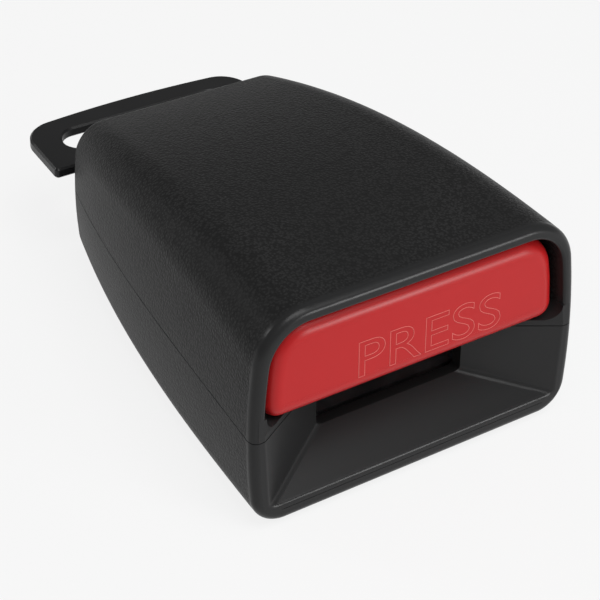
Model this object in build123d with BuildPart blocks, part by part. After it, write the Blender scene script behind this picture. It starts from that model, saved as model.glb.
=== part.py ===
from build123d import *

import os
from math import cos, radians, sin, tan

# Seat belt buckle, end release, in millimetres.
# +X is across the buckle, +Y runs from the tongue mouth to the webbing plate, +Z is up.
# The origin is under the middle of the whole part, on the plane the belly rests on.
# Places named BACK, FRONT or REAR are distances behind the lower lip of the mouth.

# ---- Moulded housing ----
HOUSING_LENGTH = 73.9  # mouth plane to rear face, square to both
LEAN = 5.2  # degrees the mouth and the rear face lean back
LIP_LIFT = 0.84  # lower lip of the mouth above the resting plane
PARTING_Z = 17.38  # flat joint between the two covers
WALL = 2.3
REAR_WALL = 2.0
TOP_DRAFT = 6.7  # degrees, seam to roof
BELLY_DRAFT = 2.8  # degrees, seam to belly
MOUTH_EDGE = 1.4  # rounding round the outside of the mouth
MOUTH_INNER_EDGE = 0.5  # round the button
REAR_EDGE = 1.3
SEAM_GAP = 0.14  # shadow line between the covers
SEAM_DEPTH = 0.5

MOUTH_WIDTH = 62.0  # widths at the parting line
SHOULDER_WIDTH = 58.4
WAIST_WIDTH = 53.5
TAIL_WIDTH = 44.6
MOUTH_TOP = 37.3  # heights of the roof above the lip, square to the mouth's lean
SHOULDER_TOP = 39.5
WAIST_TOP = 38.8
TAIL_TOP = 35.1
SHOULDER_BELLY = 1.1  # heights of the belly above the lip, measured the same way
WAIST_BELLY = 4.2
TAIL_BELLY = 9.3
MOUTH_CORNER = 9.5  # rounding of the roof's long edges
TAIL_CORNER = 6.0
BELLY_CORNER = 5.5

# ---- Lip that locates one cover in the other ----
LIP_THICKNESS = 1.0
LIP_OVERLAP = 1.6
LIP_CLEARANCE = 0.12
LIP_ROOT = 0.2  # the lip's root reaches this far into the wall
LIP_SETBACK = 1.5  # from the rear wall
LIP_START = 2.0  # behind the funnel

# ---- Funnel that leads the tongue in ----
FUNNEL_FLOOR = 3.4  # inner edge of the lower lip, above its outer edge
FUNNEL_DEPTH = 8.1
FUNNEL_WALL = 2.2
FUNNEL_CREASE = 1.2
FUNNEL_LAP = 1.0  # how far the funnel's wall runs into the cover's
THROAT_LAP = 1.6  # wall round the throat
FUNNEL_OPEN = 2.0  # the mouth's void runs out this far
LIP_EDGE = 0.9
THROAT_HALF = 14.2
THROAT_FLOOR = 8.65
SHELF_THICKNESS = 1.0  # ledge of the upper cover that the button slides over

# ---- Press button ----
BUTTON_GAP = 0.7  # side clearance to the housing, which narrows over the travel
BUTTON_RECESS = 1.0
BUTTON_CLEARANCE = 0.35  # over the ledge and round the lower corners
BUTTON_WALL = 2.0
BUTTON_DEPTH = 12.8
BUTTON_EDGE = 1.8
BUTTON_FOOT = 2.6  # rounding of the two lower corners
BUTTON_TRAVEL = 6.0

# ---- Tongue path and its guide ----
TONGUE_CLEARANCE = 1.0  # between the throat's width and the frame's sides
PASSAGE_TOP = 13.9  # underside of the tongue guide
GUIDE_LENGTH = 9.8
GUIDE_LEAD = 2.5  # length of the sloped lead
GUIDE_RISE = 1.2  # height of the sloped lead
GUIDE_SIDE = 0.1  # clearance to the frame's sides
GUIDE_SEAT = 0.05  # clearance under the ledge

# ---- Steel frame ----
STEEL = 2.5
BASE_DROP = 0.62  # top of the frame's base below the throat's floor
FRAME_SETBACK = 1.9  # behind the funnel's wall
STEP_GAP = 1.2  # guide to the step where the side walls rise
TAIL_SETBACK = 9.71  # in front of the housing's rear face
TAIL_LENGTH = 8.0
TAIL_HALF = 13.0
TAIL_SLOPE = 2.0
GUIDE_BRIM = 3.0  # passage top to the low walls' top
WALL_CORNER = 6.0  # cut corner at the rear of each side wall
RUNNING = 0.2  # clearance of sliding faces
TAB_THICKNESS = 2.0
TAB_HALF = 6.0
TAB_RISE = 0.1  # above the ejector's top
TAB_SETBACK = 2.0  # behind the pivot

# ---- Latch pawl and its pin ----
PIVOT_SETBACK = 6.0  # pivot to the rear of the side walls
PIVOT_RISE = 1.45  # above the pawl's underside
PIN_RADIUS = 2.0
PIN_FIT = 0.05
PIN_HEAD = 3.0
PIN_HEAD_THICKNESS = 1.2
BARREL_RADIUS = 4.0
BARREL_GAP = 0.3
PAWL_SETBACK = 0.8  # behind the step in the side walls
PAWL_THICKNESS = 2.5
PAWL_HALF = 12.0
TOOTH_LENGTH = 3.2
TOOTH_DEPTH = 3.0
TOOTH_HALF = 6.0
HUMP_HEIGHT = 4.0
HUMP_LENGTH = 1.6
PAWL_SWING = 9.0  # degrees from raised to latched

# ---- Lock bar ----
BAR_RADIUS = 1.75
BAR_LIFT = 0.35  # clearance over the pawl's flat
BAR_SETBACK = 1.3  # behind the foot of the hump
BAR_TRAVEL = 5.4  # forward over the pawl's hump as it drops
BAR_FIT = 0.08
BAR_END_PLAY = 0.3  # in the frame's windows
WALL_OVER_BAR = 4.5  # bar's middle to the top of the high walls

# ---- Button slider ----
SLIDER_WALL = 2.5
SLIDER_CORNER = 1.5
SLIDER_CLEARANCE = 0.3  # to the cap's floor
SLIDER_HEADROOM = 1.24  # to the cap's roof
ARM_THICKNESS = 2.5
ARM_GAP = 0.4
ARM_ROOT = 1.0  # how far an arm enters the slider's wall
ARM_UNDER_BAR = 2.6
ARM_OVER_BAR = 2.8
ARM_END = 2.07  # past the slot
ARM_DROP_BACK = 3.2  # behind the cap
ARM_SLOPE = 2.0
LOCK_SPRING_LENGTH = 5.0
BOSS_RADIUS = 1.6
BOSS_LENGTH = 2.5
BOSS_PROUD = 1.06

# ---- Ejector ----
EJECTOR_LEAD = 1.5  # nose in front of the pawl
EJECTOR_LENGTH = 13.5
EJECTOR_HALF = 11.0
EJECTOR_HEADROOM = 0.4
EJECTOR_TRAVEL = 10.0
KEEL_HALF = 2.5
KEEL_DEPTH = 2.0
KEEL_SETBACK = 2.0
POCKET_RADIUS = 2.45
POCKET_DEPTH = 6.0
POCKET_DROP = 2.6  # pocket's axis below the ejector's top

# ---- Springs ----
EJECTOR_SPRING_RADIUS = 1.9  # to the middle of the wire
EJECTOR_SPRING_TURNS = 7
BUTTON_SPRING_RADIUS = 2.3
BUTTON_SPRING_TURNS = 5
BUTTON_SPRING_X = 8.5
BUTTON_SPRING_DROP = 1.9  # below the slider's roof
BUTTON_SPRING_HEADROOM = 3.38  # below the cap's roof at its rear
LATCH_SPRING_RADIUS = 2.2
LATCH_SPRING_TURNS = 3
LATCH_SPRING_SETBACK = 8.5  # in front of the pivot
WIRE_RADIUS = 0.32
WIRE_SIDES = 6
GUIDE_PIN_RADIUS = 1.1
GUIDE_PIN_LENGTH = 10.0
LEAF = 0.3
LEAF_HALF_HEIGHT = 1.4
LEAF_END_SHARE = 0.35
LEAF_FOLDS = 4
LEAF_WIDTH = 1.6

# ---- Bridge over the frame ----
BRIDGE_THICKNESS = 2.0
BRIDGE_SETBACK = 0.2  # behind the step in the side walls
BRIDGE_TO_PIVOT = 2.0
FLANGE_HALF = 13.0
FLANGE_OVER_SPRING = 2.8
LUG = 2.0
LUG_LENGTH = 4.5
LUG_DROP = 3.4
LUG_RIVET_RADIUS = 1.2
LUG_RIVET_HEAD = 1.8
LUG_RIVET_HEAD_THICKNESS = 0.8
LUG_RIVET_INSET = 2.0  # from the bridge's end and from the walls' top

# ---- Ribs and pegs inside the covers ----
ROOF_RIB = 1.6
ROOF_RIB_X = 14.0
ROOF_RIB_LENGTH = 16.0
ROOF_RIB_SETBACK = 10.0  # rib's middle in front of the bridge's end
RIB = 1.8
SIDE_RIB_FRONT = 1.8  # behind the frame's front
SIDE_RIB_REAR = 4.0  # in front of the tail's end
FRONT_RIB_BACK = 3.8  # behind the frame's front
REAR_RIB_SETBACK = 1.5  # in front of the side walls' rear
CHEEK = 1.8
CHEEK_REACH = 12.0
CHEEK_DROP = 2.9  # below the low walls' top
PEG_RADIUS = 1.4
PEG_FIT = 0.1
PEG_X = 9.0
PEG_BACK = 5.8  # behind the frame's front
PEG_SHORT = 0.2

# ---- Webbing plate ----
PLATE_THICKNESS = 2.0
PLATE_HALF = 23.3
PLATE_TAPER = 0.4
PLATE_GAP = 4.9  # behind the housing's rear face at the parting line
PLATE_LENGTH = 16.4
PLATE_BOW = 1.3
PLATE_CORNER = 6.0
PLATE_FRONT_CORNER = 0.8
PLATE_EDGE = 0.35
PLATE_TAIL_LAP = 9.0  # under the frame's rivets
BEND_RADIUS = 3.0
CRANK_LEAD = 0.5
CRANK_LENGTH = 7.2
SLOT_LENGTH = 35.4
SLOT_WIDTH = 7.1
SLOT_SETBACK = 4.3  # slot to the plate's front edge
NECK_HALF = 13.0
NECK_CLEARANCE = 0.25
RIVET_RADIUS = 2.0
RIVET_HEAD = 3.4
RIVET_X = 7.0
RIVET_SETBACK = 5.0  # in front of the frame's tail end
RIVET_TOP_HEAD = 1.2
RIVET_LOW_HEAD = 0.7

BELOW = 1.0  # tools that cut or fill from below start this far under the resting plane


# ---- Places worked out from the sizes above ----
LEAN_COS = cos(radians(LEAN))
LEAN_SIN = sin(radians(LEAN))


def leaning_height(distance, height):
    """Height, in the leaning plane at a distance, of a point at a height above the resting plane."""
    return (height - LIP_LIFT + distance * LEAN_SIN) / LEAN_COS


def leaning_back(distance, height):
    """Distance behind the lip of a point at a height, on the leaning plane at a distance."""
    return (distance + (height - LIP_LIFT) * LEAN_SIN) / LEAN_COS


REAR_FACE = HOUSING_LENGTH * LEAN_COS + leaning_height(HOUSING_LENGTH, PARTING_Z) * LEAN_SIN
PLATE_FRONT = REAR_FACE + PLATE_GAP
PLATE_REAR = PLATE_FRONT + PLATE_LENGTH
LIP_Y = -PLATE_REAR / 2  # the lip, so that the whole part is centred on the origin


def at(back):
    """Y of a place that lies a distance behind the lower lip."""
    return LIP_Y + back


def leaning_plane(distance):
    """Plane parallel to the mouth, facing forward, its local height measured from the lip."""
    origin = (0, at(distance * LEAN_COS), LIP_LIFT - distance * LEAN_SIN)
    return Plane(origin=origin, x_dir=(1, 0, 0), z_dir=(0, -LEAN_COS, LEAN_SIN))


MOUTH_HALF = MOUTH_WIDTH / 2 - WALL  # inside the mouth, at the parting line
SHELF_Z = PARTING_Z + SHELF_THICKNESS
BUTTON_Z = SHELF_Z + BUTTON_CLEARANCE
CORNER_TOP = BUTTON_Z + BUTTON_FOOT  # where the button's lower corners end
THROAT_END = FUNNEL_DEPTH + FUNNEL_WALL
BASE_TOP = LIP_LIFT + THROAT_FLOOR * LEAN_COS - FUNNEL_DEPTH * LEAN_SIN - BASE_DROP
BASE_UNDER = BASE_TOP - STEEL
FRAME_INNER = THROAT_HALF + TONGUE_CLEARANCE
FRAME_OUTER = FRAME_INNER + STEEL
FRAME_FRONT = THROAT_END + FRAME_SETBACK
GUIDE_REAR = FRAME_FRONT + GUIDE_LENGTH
GUIDE_TOP = SHELF_Z - GUIDE_SEAT
FRAME_STEP = GUIDE_REAR + STEP_GAP
TAIL_REAR = REAR_FACE - TAIL_SETBACK
FRAME_REAR = TAIL_REAR - TAIL_LENGTH
LOW_WALL_TOP = PASSAGE_TOP + GUIDE_BRIM

PAWL_FRONT = FRAME_STEP + PAWL_SETBACK
PAWL_UNDER = LOW_WALL_TOP
PAWL_TOP = PAWL_UNDER + PAWL_THICKNESS
PIVOT_BACK = FRAME_REAR - PIVOT_SETBACK
PIVOT_Z = PAWL_UNDER + PIVOT_RISE
HUMP_REAR = PAWL_FRONT + HUMP_LENGTH + HUMP_HEIGHT
BAR_BACK = HUMP_REAR + BAR_SETBACK
BAR_Z = PAWL_TOP + BAR_LIFT + BAR_RADIUS
BAR_SLOT = BAR_RADIUS + BAR_FIT
HIGH_WALL_TOP = BAR_Z + WALL_OVER_BAR
BAR_WINDOW_FRONT = BAR_BACK - BAR_TRAVEL - BAR_END_PLAY
BAR_WINDOW_REAR = BAR_BACK + BUTTON_TRAVEL + BAR_END_PLAY

EJECTOR_FRONT = PAWL_FRONT - EJECTOR_LEAD
EJECTOR_REAR = EJECTOR_FRONT + EJECTOR_LENGTH
EJECTOR_TOP = PASSAGE_TOP - EJECTOR_HEADROOM
TOOTH_REAR = PAWL_FRONT + TOOTH_DEPTH
NOSE_SLOPE = (PIVOT_BACK - PAWL_FRONT) * sin(radians(PAWL_SWING)) / EJECTOR_TRAVEL
NOSE_HEIGHT = EJECTOR_TOP - (TOOTH_REAR - EJECTOR_FRONT) * NOSE_SLOPE
POCKET_Z = EJECTOR_TOP - POCKET_DROP
TAB_BACK = PIVOT_BACK + TAB_SETBACK
BASE_SLOT_FRONT = EJECTOR_FRONT + KEEL_SETBACK
BASE_SLOT_REAR = EJECTOR_REAR + EJECTOR_TRAVEL + KEEL_HALF

SLIDER_FACE = BUTTON_RECESS + BUTTON_WALL
SLIDER_FLOOR = BUTTON_Z + BUTTON_WALL + SLIDER_CLEARANCE
HOLLOW_INSET = WALL + BUTTON_GAP + BUTTON_WALL
SLIDER_HIGH = MOUTH_TOP - HOLLOW_INSET - SLIDER_HEADROOM  # in the leaning plane
SLIDER_ROOF = LIP_LIFT + SLIDER_HIGH * LEAN_COS - SLIDER_FACE * LEAN_SIN
CAP_REAR = BUTTON_RECESS + BUTTON_DEPTH
CAP_REAR_HIGH = MOUTH_TOP + (SHOULDER_TOP - MOUTH_TOP) * 3 * CAP_REAR / HOUSING_LENGTH - HOLLOW_INSET
CAP_REAR_ROOF = LIP_LIFT + CAP_REAR_HIGH * LEAN_COS - CAP_REAR * LEAN_SIN
BUTTON_SPRING_Z = min(SLIDER_ROOF - BUTTON_SPRING_DROP, CAP_REAR_ROOF - BUTTON_SPRING_HEADROOM)
SPRING_SEAT = leaning_back(SLIDER_FACE + SLIDER_WALL, BUTTON_SPRING_Z) + BOSS_PROUD
ARM_INNER = FRAME_OUTER + ARM_GAP
ARM_OUTER = ARM_INNER + ARM_THICKNESS
ARM_FRONT = SLIDER_FACE + SLIDER_WALL + ARM_ROOT
ARM_STEP = CAP_REAR + ARM_DROP_BACK
ARM_REAR = BAR_BACK + LOCK_SPRING_LENGTH + BAR_SLOT + ARM_END

BRIDGE_FRONT = FRAME_STEP + BRIDGE_SETBACK
BRIDGE_REAR = PIVOT_BACK - BRIDGE_TO_PIVOT
BRIDGE_TOP = HIGH_WALL_TOP + BRIDGE_THICKNESS
LUG_RIVET_PLACE = (at(BRIDGE_REAR - LUG_RIVET_INSET), HIGH_WALL_TOP - LUG_RIVET_INSET)

# share of the length, width, roof, belly, roof corner
STATIONS = (
    (0.0, MOUTH_WIDTH, MOUTH_TOP, 0.0, MOUTH_CORNER),
    (1 / 3, SHOULDER_WIDTH, SHOULDER_TOP, SHOULDER_BELLY, (2 * MOUTH_CORNER + TAIL_CORNER) / 3),
    (2 / 3, WAIST_WIDTH, WAIST_TOP, WAIST_BELLY, (MOUTH_CORNER + 2 * TAIL_CORNER) / 3),
    (1.0, TAIL_WIDTH, TAIL_TOP, TAIL_BELLY, TAIL_CORNER),
)


def moulding(inset):
    """Loft of the housing's cross-sections with bowed sides, each drawn inset from the outer skin."""
    sections = []
    for share, width, top, belly, corner in STATIONS:
        distance = share * HOUSING_LENGTH
        seam = leaning_height(distance, PARTING_Z)
        half = width / 2 - inset
        roof = top - inset
        floor = belly + inset
        shoulder = half - (roof - seam) * tan(radians(TOP_DRAFT))
        foot = half - (seam - floor) * tan(radians(BELLY_DRAFT))
        with BuildSketch(leaning_plane(distance)) as section:
            with BuildLine():
                belly_line = Line((-foot, floor), (foot, floor))
                right_side = ThreePointArc(belly_line @ 1, (half, seam), (shoulder, roof))
                roof_line = Line(right_side @ 1, (-shoulder, roof))
                ThreePointArc(roof_line @ 1, (-half, seam), belly_line @ 0)
            make_face()
            fillet(section.vertices().group_by(Axis.Y)[-1], corner - inset)
            fillet(section.vertices().group_by(Axis.Y)[0], BELLY_CORNER - inset)
        sections.append(section.sketch)
    with BuildPart() as body:
        loft(sections=sections)
    return body.part


def quad(distance, floor, foot, top, half):
    """Four-sided section in the leaning plane at a distance, foot wide at the floor and half at the top."""
    with BuildSketch(leaning_plane(distance)) as section:
        with BuildLine():
            Polyline((-foot, floor), (foot, floor), (half, top), (-half, top), close=True)
        make_face()
    return section.sketch


def mouth_quad(distance, grow):
    """Section of the funnel's mouth, which follows the housing's inner wall, grown outwards."""
    foot = MOUTH_HALF - (leaning_height(0, PARTING_Z) - FUNNEL_FLOOR) * tan(radians(BELLY_DRAFT))
    top = leaning_height(distance, SHELF_Z) + grow
    return quad(distance, FUNNEL_FLOOR - grow, foot + grow, top, MOUTH_HALF + grow)


def throat_quad(distance, grow):
    """Section of the funnel's throat, grown outwards."""
    floor = THROAT_FLOOR + (distance - FUNNEL_DEPTH) * LEAN_SIN / LEAN_COS - grow
    top = leaning_height(distance, SHELF_Z) + grow
    return quad(distance, floor, THROAT_HALF + grow, top, THROAT_HALF + grow)


def brow_quad(distance, half, draft):
    """Section above the parting line, where the funnel's sides run up round the button's corners."""
    seam, top = leaning_height(distance, PARTING_Z), leaning_height(distance, CORNER_TOP)
    return quad(distance, seam, half, top, half - (top - seam) * tan(radians(draft)))


def coil_spring(start, along, radius, length, turns):
    """Compression spring from a point along a direction, its round wire drawn with few sides."""
    along = Vector(*along)
    with BuildPart() as spring:
        with BuildLine() as path:
            Helix(pitch=(length - 2 * WIRE_RADIUS) / turns, height=length - 2 * WIRE_RADIUS,
                  radius=radius, center=Vector(*start) + along * WIRE_RADIUS, direction=along)
        with BuildSketch(Plane(origin=path.line @ 0, z_dir=path.line % 0)):
            RegularPolygon(WIRE_RADIUS, WIRE_SIDES)
        sweep(path=path.line, is_frenet=True)
    return spring.part


# ---- Shared solids of the housing ----
skin = moulding(0)
seam_floor = moulding(SEAM_DEPTH)
middle_of_wall = moulding(WALL / 2)
inner_wall = moulding(WALL)
lip_outside = moulding(WALL + LIP_CLEARANCE)
lip_inside = moulding(WALL + LIP_CLEARANCE + LIP_THICKNESS)
root_outside = moulding(WALL - LIP_ROOT)
button_skin = moulding(WALL + BUTTON_GAP)
button_inside = moulding(HOLLOW_INSET)
seam_plane = Plane.XY.offset(PARTING_Z)
rear_plane = leaning_plane(HOUSING_LENGTH - REAR_WALL)

with BuildPart() as cavity:
    add(inner_wall)
    split(bisect_by=rear_plane, keep=Keep.TOP)

with BuildPart() as funnel_void:
    loft(sections=[mouth_quad(0, 0), throat_quad(FUNNEL_DEPTH, 0)], ruled=True)
    creases = funnel_void.edges().filter_by(lambda edge: edge.center().Z < SHELF_Z - 1)
    creases = creases.filter_by(lambda edge: abs(edge.tangent_at(0.5).Y) > 0.3)
    fillet(creases, FUNNEL_CREASE)
    mouth_face = funnel_void.faces().sort_by(Axis.Y)[0]
    throat_face = funnel_void.faces().sort_by(Axis.Y)[-1]
    extrude(mouth_face, amount=FUNNEL_OPEN)
    extrude(throat_face, amount=FRAME_FRONT - FUNNEL_DEPTH)

brow_sections = [brow_quad(0, MOUTH_HALF, TOP_DRAFT), brow_quad(FUNNEL_DEPTH, THROAT_HALF, 0)]
with BuildPart() as brow_void:
    loft(sections=brow_sections, ruled=True)
    mouth_face = brow_void.faces().sort_by(Axis.Y)[0]
    throat_face = brow_void.faces().sort_by(Axis.Y)[-1]
    extrude(mouth_face, amount=FUNNEL_OPEN)
    extrude(throat_face, amount=FRAME_FRONT - FUNNEL_DEPTH)

with BuildPart() as funnel_body:
    loft(sections=[mouth_quad(0, FUNNEL_LAP), mouth_quad(FUNNEL_WALL, FUNNEL_LAP)], ruled=True)
    loft(sections=[mouth_quad(FUNNEL_WALL, FUNNEL_LAP), throat_quad(THROAT_END, THROAT_LAP)], ruled=True)
    add(middle_of_wall, mode=Mode.INTERSECT)
    split(bisect_by=seam_plane, keep=Keep.BOTTOM)

# the way the button runs, with clearance round its lower corners
with BuildPart() as button_way:
    with BuildSketch(Plane.XZ) as way:
        way_half = MOUTH_HALF - BUTTON_GAP + BUTTON_CLEARANCE
        with Locations((0, (SHELF_Z + MOUTH_TOP) / 2)):
            Rectangle(2 * way_half, MOUTH_TOP - SHELF_Z)
        fillet(way.vertices().group_by(Axis.Y)[0], BUTTON_FOOT + BUTTON_CLEARANCE)
    extrude(amount=HOUSING_LENGTH, both=True)

# ledge of the upper cover, which rises round the button's lower corners
with BuildPart() as shelf_body:
    with BuildSketch(seam_plane):
        with Locations((0, at(THROAT_END / 2))):
            Rectangle(MOUTH_WIDTH, THROAT_END)
    extrude(amount=CORNER_TOP - PARTING_Z)
    add(middle_of_wall, mode=Mode.INTERSECT)
    add(button_way.part, mode=Mode.SUBTRACT)

with BuildPart() as neck_opening:
    with BuildSketch(seam_plane):
        with Locations((0, at(REAR_FACE))):
            Rectangle(2 * (NECK_HALF + NECK_CLEARANCE), 6 * REAR_WALL)
    extrude(amount=PLATE_THICKNESS / 2 + NECK_CLEARANCE, both=True)

# shadow line: a shallow groove round the skin, and the full wall at the mouth
with BuildPart() as seam_groove:
    add(skin)
    add(seam_floor, mode=Mode.SUBTRACT)
    with BuildSketch(seam_plane):
        with Locations((0, at(THROAT_END / 2))):
            Rectangle(2 * MOUTH_WIDTH, THROAT_END)
    extrude(amount=-SEAM_GAP)
    split(bisect_by=seam_plane, keep=Keep.BOTTOM)
    split(bisect_by=seam_plane.offset(-SEAM_GAP), keep=Keep.TOP)

# ---- Upper cover ----
with BuildPart() as upper_cover:
    add(skin)
    split(bisect_by=seam_plane, keep=Keep.TOP)
    mouth_rim = upper_cover.faces().sort_by(Axis.Y)[0].edges()
    fillet(mouth_rim.filter_by(lambda edge: edge.center().Z > PARTING_Z + 0.01), MOUTH_EDGE)
    rear_rim = upper_cover.faces().sort_by(Axis.Y)[-1].edges()
    fillet(rear_rim.filter_by(lambda edge: edge.center().Z > PARTING_Z + 0.01), REAR_EDGE)
    add(cavity.part, mode=Mode.SUBTRACT)
    mouth_band = upper_cover.faces().filter_by(leaning_plane(0)).sort_by(Axis.Y)[0]
    inner_rim = mouth_band.edges().filter_by(lambda edge: cavity.part.distance_to(edge.center()) < 0.01)
    fillet(inner_rim, MOUTH_INNER_EDGE)
    add(shelf_body.part)
    add(funnel_void.part, mode=Mode.SUBTRACT)
    add(brow_void.part, mode=Mode.SUBTRACT)
    add(neck_opening.part, mode=Mode.SUBTRACT)
    # two ribs under the roof hold the bridge down
    with BuildSketch(Plane.XY.offset(BRIDGE_TOP)):
        rib_y = at(BRIDGE_REAR - ROOF_RIB_SETBACK)
        with Locations((-ROOF_RIB_X, rib_y), (ROOF_RIB_X, rib_y)):
            Rectangle(ROOF_RIB, ROOF_RIB_LENGTH)
    extrude(until=Until.NEXT)

# ---- Lower cover ----
with BuildPart() as locating_lip:
    add(lip_outside)
    add(lip_inside, mode=Mode.SUBTRACT)
    split(bisect_by=rear_plane.offset(LIP_SETBACK), keep=Keep.TOP)
    split(bisect_by=leaning_plane(THROAT_END + LIP_START), keep=Keep.BOTTOM)
    split(bisect_by=seam_plane.offset(LIP_OVERLAP), keep=Keep.BOTTOM)
    split(bisect_by=seam_plane.offset(-LIP_OVERLAP), keep=Keep.TOP)

with BuildPart() as lip_root:
    # thickens the lip's root so that it joins the wall below the parting line
    add(root_outside)
    add(lip_inside, mode=Mode.SUBTRACT)
    split(bisect_by=rear_plane.offset(LIP_SETBACK), keep=Keep.TOP)
    split(bisect_by=leaning_plane(THROAT_END + LIP_START), keep=Keep.BOTTOM)
    split(bisect_by=seam_plane, keep=Keep.BOTTOM)
    split(bisect_by=seam_plane.offset(-LIP_OVERLAP), keep=Keep.TOP)

with BuildPart() as floor_ribs:
    # ribs under the frame's sides and across its ends
    with BuildSketch(Plane.XY.offset(-BELOW)):
        side_rib_x = FRAME_OUTER - STEEL / 2
        side_rib_front = FRAME_FRONT + SIDE_RIB_FRONT
        side_rib_rear = TAIL_REAR - SIDE_RIB_REAR
        side_rib_y = at((side_rib_front + side_rib_rear) / 2)
        with Locations((-side_rib_x, side_rib_y), (side_rib_x, side_rib_y)):
            Rectangle(RIB, side_rib_rear - side_rib_front)
        with Locations((0, at(FRAME_FRONT + FRONT_RIB_BACK)), (0, at(FRAME_REAR - REAR_RIB_SETBACK))):
            Rectangle(2 * side_rib_x, RIB)
    extrude(amount=BASE_UNDER + BELOW)
    # pegs that enter the base
    with BuildSketch(Plane.XY.offset(-BELOW)):
        with Locations((-PEG_X, at(FRAME_FRONT + PEG_BACK)), (PEG_X, at(FRAME_FRONT + PEG_BACK))):
            Circle(PEG_RADIUS)
    extrude(amount=BASE_TOP - PEG_SHORT + BELOW)
    # cheeks that hold the frame sideways, by the lock bar and by the pivot
    with BuildSketch(Plane.XY.offset(-BELOW)):
        cheek_x = FRAME_OUTER + (RUNNING + CHEEK_REACH) / 2
        for back in (BAR_BACK - CHEEK / 2, PIVOT_BACK):
            with Locations((-cheek_x, at(back)), (cheek_x, at(back))):
                Rectangle(CHEEK_REACH, CHEEK)
    extrude(amount=LOW_WALL_TOP - CHEEK_DROP + BELOW)
    add(middle_of_wall, mode=Mode.INTERSECT)

with BuildPart() as lower_cover:
    add(skin)
    split(bisect_by=seam_plane, keep=Keep.BOTTOM)
    mouth_rim = lower_cover.faces().sort_by(Axis.Y)[0].edges()
    fillet(mouth_rim.filter_by(lambda edge: edge.center().Z < PARTING_Z - 0.01), MOUTH_EDGE)
    rear_rim = lower_cover.faces().sort_by(Axis.Y)[-1].edges()
    fillet(rear_rim.filter_by(lambda edge: edge.center().Z < PARTING_Z - 0.01), REAR_EDGE)
    split(bisect_by=Plane.XY, keep=Keep.TOP)
    add(cavity.part, mode=Mode.SUBTRACT)
    add(funnel_body.part)
    add(funnel_void.part, mode=Mode.SUBTRACT)
    lip_middle = (0, at(FUNNEL_FLOOR * LEAN_SIN), LIP_LIFT + FUNNEL_FLOOR * LEAN_COS)
    fillet(lower_cover.edges().sort_by_distance(lip_middle)[0], LIP_EDGE)
    add(floor_ribs.part)
    add(seam_groove.part, mode=Mode.SUBTRACT)
    add(locating_lip.part)
    add(lip_root.part)
    split(bisect_by=Plane.XY, keep=Keep.TOP)
    add(neck_opening.part, mode=Mode.SUBTRACT)

# ---- Button cap: the red face, hollow behind ----
with BuildPart() as cap_hollow:
    add(button_inside)
    split(bisect_by=leaning_plane(SLIDER_FACE), keep=Keep.BOTTOM)
    split(bisect_by=Plane.XY.offset(BUTTON_Z + BUTTON_WALL), keep=Keep.TOP)

with BuildPart() as button_cap:
    add(button_skin)
    split(bisect_by=leaning_plane(BUTTON_RECESS), keep=Keep.BOTTOM)
    split(bisect_by=leaning_plane(CAP_REAR), keep=Keep.TOP)
    split(bisect_by=Plane.XY.offset(BUTTON_Z), keep=Keep.TOP)
    lower_edges = button_cap.edges().filter_by(lambda edge: edge.center().Z < BUTTON_Z + 0.05)
    fillet(lower_edges.filter_by(lambda edge: abs(edge.center().X) > THROAT_HALF), BUTTON_FOOT)
    fillet(button_cap.faces().sort_by(Axis.Y)[0].edges(), BUTTON_EDGE)
    add(cap_hollow.part, mode=Mode.SUBTRACT)

# ---- Button slider: the cap's carrier, with two arms that take the lock bar ----
with BuildPart() as button_slider:
    with BuildSketch(leaning_plane(SLIDER_FACE)):
        slider_low = leaning_height(SLIDER_FACE, SLIDER_FLOOR)
        with Locations((0, (slider_low + SLIDER_HIGH) / 2)):
            RectangleRounded(2 * ARM_OUTER, SLIDER_HIGH - slider_low, SLIDER_CORNER)
    extrude(amount=-SLIDER_WALL)
    # side arms, cut from one profile and then slotted for the bar and its spring
    with BuildSketch(Plane.YZ.offset(ARM_INNER)):
        with BuildLine():
            Polyline(
                (at(ARM_FRONT), SLIDER_FLOOR),
                (at(ARM_STEP), SLIDER_FLOOR),
                (at(ARM_STEP + ARM_SLOPE), BAR_Z - ARM_UNDER_BAR),
                (at(ARM_REAR), BAR_Z - ARM_UNDER_BAR),
                (at(ARM_REAR), BAR_Z + ARM_OVER_BAR),
                (at(ARM_FRONT), BAR_Z + ARM_OVER_BAR),
                close=True,
            )
        make_face()
        slot_front = at(BAR_BACK - BAR_TRAVEL)
        slot_rear = at(BAR_BACK + LOCK_SPRING_LENGTH)
        with Locations(((slot_front + slot_rear) / 2, BAR_Z)):
            SlotCenterToCenter(slot_rear - slot_front, 2 * BAR_SLOT, mode=Mode.SUBTRACT)
    extrude(amount=ARM_THICKNESS)
    mirror(about=Plane.YZ)
    # bosses that seat the two return springs
    with BuildSketch(Plane.XZ.offset(-at(SPRING_SEAT))):
        with Locations((-BUTTON_SPRING_X, BUTTON_SPRING_Z), (BUTTON_SPRING_X, BUTTON_SPRING_Z)):
            Circle(BOSS_RADIUS)
    extrude(amount=BOSS_LENGTH)

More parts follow.
